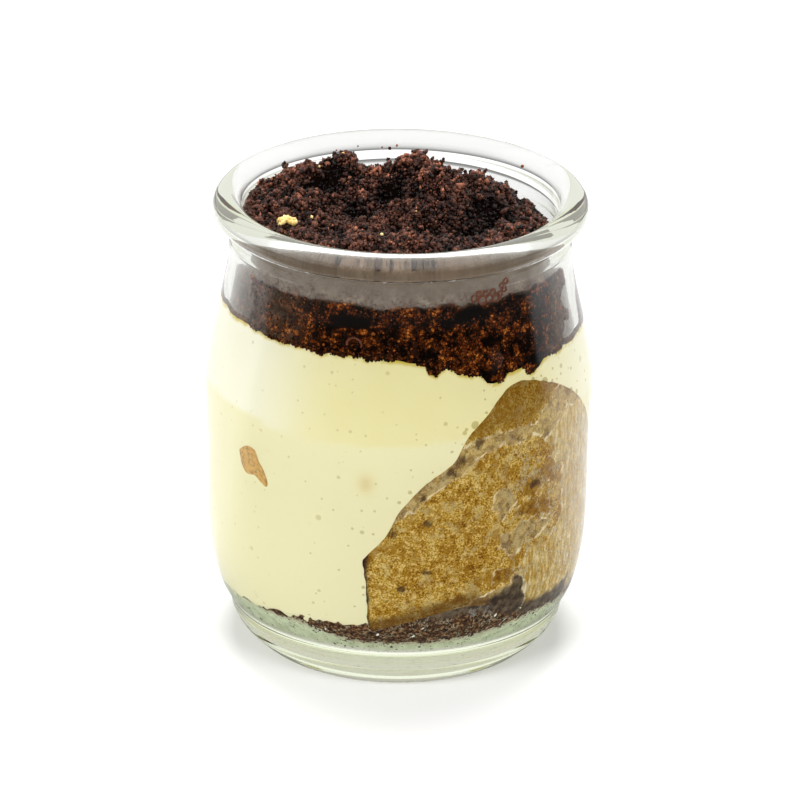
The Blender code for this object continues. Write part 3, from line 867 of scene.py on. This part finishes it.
def make_chunk():
    """The small chunk of biscuit in the cream."""
    outline = np.array(CHUNK_OUTLINE)
    middle = outline.mean(axis=0)
    ring = smooth_curve(np.vstack([outline, outline[:1]]), 6)[:-1]
    steps = np.linspace(0.0, 1.0, 14)
    rows = []
    for share in steps:
        spot = middle + (ring - middle) * share
        rows.append(at(spot[:, 0], wall(spot[:, 1], REACH_MORE), spot[:, 1]))
    for share, depth in ((0.9, 1.5), (0.6, 2.5), (0.0, 3.0)):
        spot = middle + (ring - middle) * share
        rows.append(at(spot[:, 0], wall(spot[:, 1], REACH_MORE) - depth, spot[:, 1]))
    points, faces = round_solid(np.array(rows))
    look = plain_look("pale biscuit", rgb(222, 174, 98), 0.6)
    add_piece("pale_chunk", points, faces, look, "biscuit_chunk", "pale_sponge")


def wall_marks(place):
    """Of the upper crumbs at the glass: how loose they lie, as they do in the neck, how much of the
    painted reflection haze they get, and how much painted shade darkens them, as in hollows."""
    angle = np.degrees(np.arctan2(place[..., 0], -place[..., 1]))
    height = place[..., 2]
    uneven = 0.35 * noise(place, 1.3, 31, 2)
    flat = place * np.array([1.0, 1.0, 1.7])
    # painted shade: patches and the listed hollows where the crumbs are painted dark
    hollow = ramp(noise(flat, 3.6, 37, 4), 0.24, 0.4)
    for turn, z, half_turn, half_height in WALL_SHADED_HOLLOWS:
        away = np.hypot((angle - turn) / half_turn, (height - z) / half_height)
        hollow = np.maximum(hollow, ramp(away + uneven, 1.15, 0.8))
    loose = ramp(height + 0.8 * noise(place, 2.5, 34, 2), NECK_LOOSE_FROM, NECK_LOOSE_FROM + 1.2)
    side = np.abs(angle) + 9.0 * noise(place, 3.0, 38, 5) - 0.8 * (height - 64.0)
    start, end = SIDE_LOOSE
    left = LEFT_LOOSER * (angle < 0.0)
    apart = ramp(side + left, start, start + 3.0) * ramp(side, end, end - 3.0)
    # painted reflection haze: at the left, at the sides and, through loose, in the neck
    dusty = 0.42 * ramp(-angle, *LEFT_HAZE) * ramp(-angle, 110.0, 90.0)
    dusty = np.maximum(dusty, 0.65 * ramp(side, *SIDE_HAZE) * ramp(side, end + 12.0, end))
    return np.maximum(loose, apart), np.maximum(loose, dusty), hollow


def wall_depth(place):
    """How far behind the glass the upper crumbs lie: they touch it, but not in the neck."""
    first, second = clods(place + 0.9 * noise(place, 1.6, 30, 2)[..., None], 2.4, 33)
    return wall_marks(place)[0] * (LOOSE_GAP + 0.05 * ramp(second - first, 0.22, 0.02))


def clod_rise(place):
    """Height of the clods of the heap over the gaps between them."""
    bent = place + 0.8 * np.stack([noise(place, 1.8, 51 + axis, 2) for axis in range(3)], axis=-1)
    rise = 0.0
    for size, tall in CLOD_SIZES:
        first, second = clods(bent, size, int(10 * size))
        round_top = np.sqrt(np.maximum(1.0 - (first / 1.05) ** 2, 0.0))
        rise = rise + tall * round_top * ramp(second - first, 0.0, 0.3)
    return rise


def make_heap():
    """The core of the crumb heap and its relief. Also returns how much each point stands out."""
    angles = food_angles()
    low = crumb_edge(angles)
    radius = wall(HEAP_AT_WALL - 1.0) - 0.5
    top = heap_height(*at(angles, radius, 0.0).T[:2]) - HEAP_SKIN
    share = np.linspace(0.0, 1.0, 56)[:, None]
    heights = low + (top - low) * share
    place = at(angles, wall(heights), heights)
    depth = wall_depth(place) * ramp(share, 0.0, 0.1) - REACH_MORE
    depth[-1] += 0.5
    side = at(angles, wall(heights) - depth, heights)
    inward = np.linspace(1.0, 0.0, HEAP_RINGS)[1:, None]
    over = at(angles, inward * (wall(top) - depth[-1]), 0.0)
    inner = ramp(inward, 1.0, 0.95)
    rise = clod_rise(over)
    over[..., 2] = heap_height(over[..., 0], over[..., 1]) - HEAP_SKIN + inner * (rise - CLOD_MEAN)
    over[..., 2] += 0.25 * noise(over, 0.7, 35, 2)
    over[..., 2] = np.minimum(over[..., 2], TOP - 0.7)
    under = at(angles, np.array([0.0, 0.4, 0.8])[:, None] * wall(low), low)
    every, faces = round_solid(np.concatenate([under, side, over]))
    stands = np.concatenate([np.full(3, 0.3).repeat(FOOD_SEGMENTS), 0.6 - 0.3 * depth.ravel(), rise.ravel() / 2.6])
    stands = np.concatenate([stands[FOOD_SEGMENTS:-FOOD_SEGMENTS], [0.3, rise[-1, 0] / 2.6]])
    stands = np.clip(stands, 0.0, 1.0)
    # painted shade: the core's tone is darker where it stands out less, and more so in the pits; it is lighter near
    # the wall
    for pit_x, pit_y, spread_x, spread_y, _ in HEAP_PITS:
        deep = bump(np.hypot((every[:, 0] - pit_x) / spread_x, (every[:, 1] - pit_y) / spread_y))
        stands = stands * (1.0 - np.minimum(1.4 * deep, 0.95))
    tone = 0.25 * stands + 0.1 * noise(every, 1.0, 36, 2)
    tone += 0.5 * ramp(np.hypot(every[:, 0], every[:, 1]), 23.6, 24.6)
    loose, dusty, hollow = wall_marks(place)

    def on_side(values):
        """Values for the points at the wall, and 0 for the others."""
        padded = np.zeros(len(every))
        padded[2 * FOOD_SEGMENTS:][:values.size] = values.ravel()
        return padded

    add_piece(
        "crumb_core", every, faces, core_look(), "crumb_topping", "cocoa_crumbs",
        tone=tone, pressed=on_side(np.ones_like(loose)), dusty=on_side(dusty), hollow=on_side(hollow),
        speckled=on_side(ramp(place[..., 2], 70.5, 69.0)),
    )
    return every, faces, stands


ICO = None


def icosahedron():
    long = (1.0 + math.sqrt(5.0)) / 2.0
    corners = []
    for a in (-1.0, 1.0):
        for b in (-long, long):
            corners += [(0.0, a, b), (a, b, 0.0), (b, 0.0, a)]
    corners = np.array(corners)
    faces = []
    for i in range(12):
        for j in range(i + 1, 12):
            for k in range(j + 1, 12):
                trio = corners[[i, j, k]]
                sides = np.linalg.norm(trio - np.roll(trio, 1, axis=0), axis=1)
                if np.all(sides < 2.1):
                    outward = np.dot(np.cross(trio[1] - trio[0], trio[2] - trio[0]), trio.sum(axis=0))
                    faces.append((i, j, k) if outward > 0 else (i, k, j))
    return corners / np.linalg.norm(corners[0]), np.array(faces)


def octahedron():
    corners = np.vstack([np.eye(3), -np.eye(3)])
    faces = []
    for signs in np.ndindex(2, 2, 2):
        trio = [axis + 3 * sign for axis, sign in enumerate(signs)]
        faces.append(trio if sum(signs) % 2 == 0 else trio[::-1])
    return corners, np.array(faces)


def grains(name, rng, centres, sizes, tone, shape, look, slot, flatten=0.8):
    """One piece of many small lumps, each turned and shaped by chance."""
    corners, faces = shape
    count = len(centres)
    axes, _ = np.linalg.qr(rng.normal(size=(count, 3, 3)))
    stretch = rng.uniform(flatten, 1.25, (count, 1, 3))
    jitter = rng.uniform(0.8, 1.2, (count, len(corners), 1))
    local = corners[None] * jitter * stretch * 0.5 * sizes[:, None, None]
    points = centres[:, None] + np.einsum("nij,nkj->nki", axes, local)
    index = faces[None] + len(corners) * np.arange(count)[:, None, None]
    every = points.reshape(-1, 3)
    every[:, 2] = np.minimum(every[:, 2], TOP - 0.02)
    tones = np.repeat(tone, len(corners))
    return add_piece(name, every, index.reshape(-1, 3), look, None, slot, tone=tones)


def scatter(rng, points, faces, count, weight):
    """Points strewn over a mesh by area, with their normals and triangles; weight says where,
    from the middle of each triangle."""
    a, b, c = (points[faces[:, i]] for i in range(3))
    normal = np.cross(b - a, c - a)
    area = np.linalg.norm(normal, axis=1)
    chance = area * weight((a + b + c) / 3.0, normal / np.maximum(area, 1e-9)[:, None])
    pick = rng.choice(len(faces), count, p=chance / chance.sum())
    first, second = rng.random((2, count, 1))
    flip = first + second > 1.0
    first = np.where(flip, 1.0 - first, first)
    second = np.where(flip, 1.0 - second, second)
    spot = a[pick] + first * (b - a)[pick] + second * (c - a)[pick]
    return spot, normal[pick] / np.maximum(area[pick], 1e-9)[:, None], pick


def sprigs(rng, spot, normal):
    """Short chains of grains that stick out of the heap, from each spot."""
    count = len(spot)
    way = normal + 0.9 * rng.normal(size=(count, 3))
    way[:, 2] = np.abs(way[:, 2])
    way /= np.linalg.norm(way, axis=1, keepdims=True)
    chains = []
    for step in range(5):
        way = way + 0.35 * rng.normal(size=(count, 3))
        way /= np.linalg.norm(way, axis=1, keepdims=True)
        spot = spot + 0.3 * way
        chains.append(spot)
    return np.concatenate(chains), np.repeat(np.linspace(1.15, 0.7, 5), count)


def make_grains(rng, points, faces, stands):
    top_look = grain_look("cocoa grains", rgb(9, 5, 4), rgb(66, 38, 28), rgb(148, 92, 68), 0.4, 0.35)
    wall_look = grain_look("moist grains", rgb(12, 5, 2), rgb(74, 35, 13), rgb(186, 104, 44), 0.6, 0.05)
    face_stands = stands[faces].mean(axis=1)

    def inner_top(middle, normal):
        return on_top(middle, normal) * (np.hypot(middle[:, 0], middle[:, 1]) < 23.0)

    def on_top(middle, normal):
        radius = np.hypot(middle[:, 0], middle[:, 1])
        there = (middle[:, 2] > 66.0) & ((normal[:, 2] > 0.3) | (radius < 24.5))
        return there * (0.15 + face_stands)

    for part in range(2):
        spot, normal, pick = scatter(rng, points, faces, 20500, on_top)
        sizes = 0.48 * np.exp(0.35 * rng.normal(size=len(spot)))
        spot = spot + normal * rng.uniform(-0.05, 0.32, (len(spot), 1))
        # painted shade and light: grains are darker where the heap stands out less and lighter high up, besides their
        # random tone
        tone = 0.5 * face_stands[pick] + 0.3 * noise(spot, 1.1, 61, 2) + 0.12 * ramp(spot[:, 2], 75.0, 80.0)
        tone += rng.uniform(-0.24, 0.18, len(spot)) + 0.35 * (rng.random(len(spot)) > 0.975)
        # painted shade: grains in the low parts of the heap go nearly black
        tone *= 0.3 + 0.7 * ramp(face_stands[pick], 0.05, 0.35)
        tips, tip_normal, tip_pick = scatter(rng, points, faces, 200, inner_top)
        chain, chain_sizes = sprigs(rng, tips, tip_normal)
        spot = np.concatenate([spot, chain])
        sizes = np.concatenate([sizes, chain_sizes])
        tone = np.concatenate([tone, 0.8 * rng.beta(1.3, 2.4, len(chain))])
        limit = wall(spot[:, 2]) - 0.7
        radius = np.hypot(spot[:, 0], spot[:, 1])
        tone = np.maximum(tone, 0.35 * ramp(radius, 23.8, 24.6))
        spot[:, :2] *= np.minimum(1.0, limit / np.maximum(radius, 1e-6))[:, None]
        spot[:, 2] = np.minimum(spot[:, 2], TOP - 0.3)
        grains(f"heap_grains_{part + 1}", rng, spot, sizes, tone, octahedron(), top_look, "cocoa_crumbs")

    count = 12000
    angle = rng.uniform(-180.0, 180.0, count)
    low = crumb_edge(angle) - 0.2
    share = np.where(np.arange(count) % 4 == 0, 0.0, rng.uniform(0.0, 1.0, count))
    height = low + (NECK_LOOSE_FROM - low) * share + rng.uniform(0.0, 0.8, count)
    loose, _, hollow = wall_marks(at(angle, wall(height), height))
    keep = np.flatnonzero((loose < 0.3) & (hollow < 0.4))[:8000]
    angle, height = angle[keep], height[keep]
    sizes = 0.42 * np.exp(0.35 * rng.normal(size=len(keep)))
    spot = at(angle, wall(height) + REACH_MORE - 0.35 * sizes, height)
    tone = rng.beta(1.1, 3.0, len(keep))
    grains("wall_grains", rng, spot, sizes, tone, icosahedron(), wall_look, "cocoa_crumbs")


def torus(centre, normal, radius, thick, around=20, across=6):
    """Points and triangles of a ring."""
    side = np.cross(normal, (0.0, 0.0, 1.0))
    side /= np.linalg.norm(side)
    up = np.cross(side, normal)
    turns = np.linspace(0.0, 2.0 * math.pi, around, endpoint=False)[:, None, None]
    rolls = np.linspace(0.0, 2.0 * math.pi, across, endpoint=False)[None, :, None]
    out = np.cos(turns) * side + np.sin(turns) * up
    points = centre + out * (radius + thick * np.cos(rolls)) + thick * np.sin(rolls) * np.array(normal)
    faces = triangles(around, across, wrap=True)
    close = triangles(2, across, wrap=True)
    close = np.where(close >= across, close - across, close + (around - 1) * across)
    return points.reshape(-1, 3), np.concatenate([faces, close])


def joined(parts):
    """One mesh from many."""
    points = []
    faces = []
    count = 0
    for some, some_faces in parts:
        points.append(some)
        faces.append(some_faces + count)
        count += len(some)
    return np.vstack(points), np.vstack(faces)


COFFEE_RINGS = (  # angle, height and radius of rings of coffee between the crumbs and the glass
    (-14.9, 61.7, 1.2, 0.16), (26.4, 68.9, 0.55, 0.18), (27.9, 69.3, 0.5, 0.16),
    (29.2, 68.4, 0.65, 0.19), (30.6, 69.2, 0.45, 0.16), (31.9, 68.5, 0.6, 0.18),
    (33.4, 69.2, 0.5, 0.17), (34.8, 68.3, 0.65, 0.2), (36.1, 68.7, 0.45, 0.15),
    (37.0, 70.0, 0.4, 0.14), (38.8, 70.6, 0.4, 0.14), (38.0, 69.4, 0.45, 0.15),
)
PALE_CRUMB = (-18.4, -9.1)  # x and y of a crumb of cream on the heap
FLECKS = ((-9.6, 7.3), (-14.4, -6.5), (-7.1, -8.6), (-13.5, 7.0), (2.5, -3.5), (9.0, -5.0), (-3.0, -14.0))
STUCK_CRUMBS = ((-3.3, 75.7), (-7.4, 76.2), (-0.8, 76.0), (20.3, 76.2), (-2.0, 75.5), (-11.0, 75.9))


def make_bits(rng):
    """The few things that aren't cocoa crumb: rings of coffee, pale crumbs, and specks on the
    back of the glass."""
    rings = []
    for angle, height, radius, thick in COFFEE_RINGS:
        normal = at(np.array(angle), -1.0, 0.0)
        centre = at(np.array(angle), wall(height) + REACH_MORE - 0.6 * thick, height)
        rings.append(torus(centre, normal, radius, thick))
    look = plain_look("coffee", rgb(112, 50, 14), 0.4)
    add_piece("coffee_rings", *joined(rings), look, None, "cocoa_crumbs")

    def on_heap(x, y, lift):
        return np.stack([x, y, heap_height(x, y) + lift], axis=-1)

    x = PALE_CRUMB[0] + rng.uniform(-1.4, 1.4, 60)
    y = PALE_CRUMB[1] + 0.7 * rng.uniform(-1.4, 1.4, 60)
    near = np.hypot(x - PALE_CRUMB[0], y - PALE_CRUMB[1])
    lumps = on_heap(x, y, 1.3 - 0.4 * near + 0.3 * rng.random(60))
    spots = np.array(FLECKS)
    flecks = on_heap(spots[:, 0], spots[:, 1], 0.55)
    centres = np.concatenate([lumps, flecks])
    sizes = np.concatenate([rng.uniform(0.6, 1.05, 60), rng.uniform(0.35, 0.6, len(spots))])
    tone = rng.uniform(0.3, 1.0, len(centres))
    look = grain_look("pale crumb", rgb(140, 44, 18), rgb(166, 138, 78), rgb(212, 192, 134), 0.6, 0.2)
    grains("pale_crumbs", rng, centres, sizes, tone, icosahedron(), look, "cream")

    place = np.array(STUCK_CRUMBS)
    away = np.sqrt(NECK_INNER**2 - place[:, 0] ** 2) - 0.1
    centres = np.stack([place[:, 0], away, place[:, 1]], axis=1)
    look = grain_look("stuck crumbs", rgb(50, 20, 10), rgb(86, 42, 26), rgb(116, 66, 44), 0.6, 0.1)
    sizes = rng.uniform(0.3, 0.6, len(place))
    grains("stuck_crumbs", rng, centres, sizes, rng.random(len(place)), icosahedron(), look, "cocoa_crumbs")


# ---------------------------------------------------------------------------------------------
# Camera, floor and light

CAMERA_HEIGHT_ANGLE = 24.03
CAMERA_DISTANCE = 700.0
CAMERA_AIM = Vector((0.25, 0.0, 40.34))
CAMERA_FROM = 39.0  # height of the point that the distance is measured from
CAMERA_ROLL = 0.69
LENS = 188.2  # on a 36 mm sensor


def make_camera():
    camera = bpy.data.objects.new("camera", bpy.data.cameras.new("camera"))
    bpy.context.scene.collection.objects.link(camera)
    camera.data.lens = LENS
    camera.data.sensor_width = 36.0
    camera.data.clip_start = 0.05
    camera.data.clip_end = 20.0
    lift = math.radians(CAMERA_HEIGHT_ANGLE)
    place = Vector((0.0, -CAMERA_DISTANCE * math.cos(lift), CAMERA_FROM + CAMERA_DISTANCE * math.sin(lift)))
    camera.location = place * MM
    turn = (CAMERA_AIM - place).to_track_quat("-Z", "Y").to_matrix()
    roll = Vector((0.0, 0.0, 1.0))
    from mathutils import Matrix
    camera.rotation_euler = (turn @ Matrix.Rotation(math.radians(CAMERA_ROLL), 3, "Z")).to_euler()
    bpy.context.scene.camera = camera


FLOOR_SEEN = 0.655  # how pale the floor is to the camera
FLOOR_LIGHT = 0.46  # and as light that it throws back
FLOOR_FRONT = (-30.0, 30.0)  # y between which the part in front goes over into the part behind
FLOOR_REFLECTED = (0.04, 0.5)  # how pale each is as a reflection
FLOOR_THROUGH_GLASS = (0.9, 0.36)  # and through the glass


def make_floor():
    """A white floor. The camera sees it brighter than the jar does."""
    half = 3.0
    mesh = bpy.data.meshes.new("floor")
    mesh.from_pydata([(-half, -half, 0), (half, -half, 0), (half, half, 0), (-half, half, 0)], [], [(0, 1, 2, 3)])
    floor = bpy.data.objects.new("floor", mesh)
    bpy.context.scene.collection.objects.link(floor)
    look = Look("white floor", 0.9)
    y = look.add("SeparateXYZ", {0: look.place}).outputs["Y"]
    start, end = (edge * MM for edge in FLOOR_FRONT)
    reflected = look.between(y, start, end, *FLOOR_REFLECTED)
    through = look.between(y, start, end, *FLOOR_THROUGH_GLASS)
    path = look.add("LightPath").outputs
    paleness = FLOOR_LIGHT
    for ray, value in (
        ("Is Glossy Ray", reflected),
        ("Is Transmission Ray", through),
        ("Is Camera Ray", FLOOR_SEEN),
    ):
        change = look.sum("SUBTRACT", value, paleness)
        paleness = look.sum("MULTIPLY_ADD", path[ray], change, paleness)
    grey = look.add("CombineColor", {"Red": paleness, "Green": paleness, "Blue": paleness})
    diffuse = look.add("BsdfDiffuse", {"Color": grey.outputs[0]})
    output = look.tree.nodes["Material Output"]
    look.tree.links.new(diffuse.outputs[0], output.inputs["Surface"])
    look.tree.nodes.remove(look.shader)
    mesh.materials.append(look.material)


def add_light(name, place, aim, width, height, power, colour=(1.0, 1.0, 1.0), mirrored=True):
    """A soft box. The glass doesn't mirror it if mirrored is false."""
    light = bpy.data.lights.new(name, "AREA")
    light.shape = "RECTANGLE"
    light.size = width * MM
    light.size_y = height * MM
    light.energy = power
    light.color = colour
    lamp = bpy.data.objects.new(name, light)
    bpy.context.scene.collection.objects.link(lamp)
    lamp.location = Vector(place) * MM
    lamp.rotation_euler = (Vector(aim) - Vector(place)).to_track_quat("-Z", "Y").to_euler()
    lamp.visible_glossy = mirrored
    lamp.visible_transmission = mirrored


WORLD_FRONT = (-0.6, -0.15)  # y on a ball of radius 1 between which the front goes from dark to bright
WORLD_RISE = (0.2, 0.55)  # z between which the front does
WORLD_DARK = 0.02
WORLD_BRIGHT = 1.0
WORLD_THROUGH_GLASS = 0.2  # how much brighter it is as seen through the glass
WORLD_ON_OPEN_FOOD = 0.55  # share of it that lights what no glass covers, so that the lamps shape it
WORLD_ON_FOOD = 2.0  # and what is behind the glass, where the lamps don't reach
WORLD_LEFT = 1.14  # more of that comes from the left
WORLD_RIGHT = 0.86


def make_world():
    """A white studio that is dark only behind the camera, near the horizon."""
    world = bpy.data.worlds.new("studio")
    world.use_nodes = True
    tree = world.node_tree

    def maths(operation, *values):
        node = tree.nodes.new("ShaderNodeMath")
        node.operation = operation
        for socket, value in zip(node.inputs, values):
            if isinstance(value, bpy.types.NodeSocket):
                tree.links.new(value, socket)
            else:
                socket.default_value = value
        return node.outputs[0]

    def rise(value, start, end, low, high):
        node = tree.nodes.new("ShaderNodeMapRange")
        node.interpolation_type = "SMOOTHSTEP"
        tree.links.new(value, node.inputs["Value"])
        for socket, number in zip(("From Min", "From Max", "To Min", "To Max"), (start, end, low, high)):
            node.inputs[socket].default_value = number
        return node.outputs["Result"]

    direction = tree.nodes.new("ShaderNodeTexCoord").outputs["Generated"]
    split = tree.nodes.new("ShaderNodeSeparateXYZ")
    tree.links.new(direction, split.inputs[0])
    front = rise(split.outputs["Y"], *WORLD_FRONT, WORLD_DARK, WORLD_BRIGHT)
    above = rise(split.outputs["Z"], *WORLD_RISE, WORLD_DARK, WORLD_BRIGHT)
    path = tree.nodes.new("ShaderNodeLightPath").outputs
    through = path["Is Transmission Ray"]
    bright = maths("MULTIPLY_ADD", through, WORLD_THROUGH_GLASS, maths("MAXIMUM", front, above))
    on_food = maths("MULTIPLY", through, maths("GREATER_THAN", path["Diffuse Depth"], 0.5))
    lit = maths("MULTIPLY", rise(split.outputs["X"], -1.0, 1.0, WORLD_LEFT, WORLD_RIGHT), WORLD_ON_FOOD)
    share = maths("MULTIPLY_ADD", on_food, maths("SUBTRACT", lit, 1.0), 1.0)
    share = maths("MULTIPLY_ADD", path["Is Diffuse Ray"], WORLD_ON_OPEN_FOOD - 1.0, share)
    tree.links.new(maths("MULTIPLY", bright, share), tree.nodes["Background"].inputs["Strength"])
    tree.nodes["Background"].inputs["Color"].default_value = (1.0, 1.0, 1.0, 1.0)
    bpy.context.scene.world = world


def make_lights():
    make_world()
    add_light("top", (0, 200, 600), (0, 0, 40), 400, 300, 6.6, mirrored=False)
    add_light("left", (-450, -500, 420), (0, 0, 40), 400, 400, 6.3, mirrored=False)
    add_light("right", (450, -500, 420), (0, 0, 40), 400, 400, 4.7, mirrored=False)


make_camera()
make_floor()
make_lights()
make_jar()
rng = np.random.default_rng(7)
make_crumb_base(rng)
make_cream()
make_biscuit()
make_chunk()
core = make_heap()
make_grains(rng, *core)
make_bits(rng)

bpy.context.scene.view_settings.view_transform = "Standard"
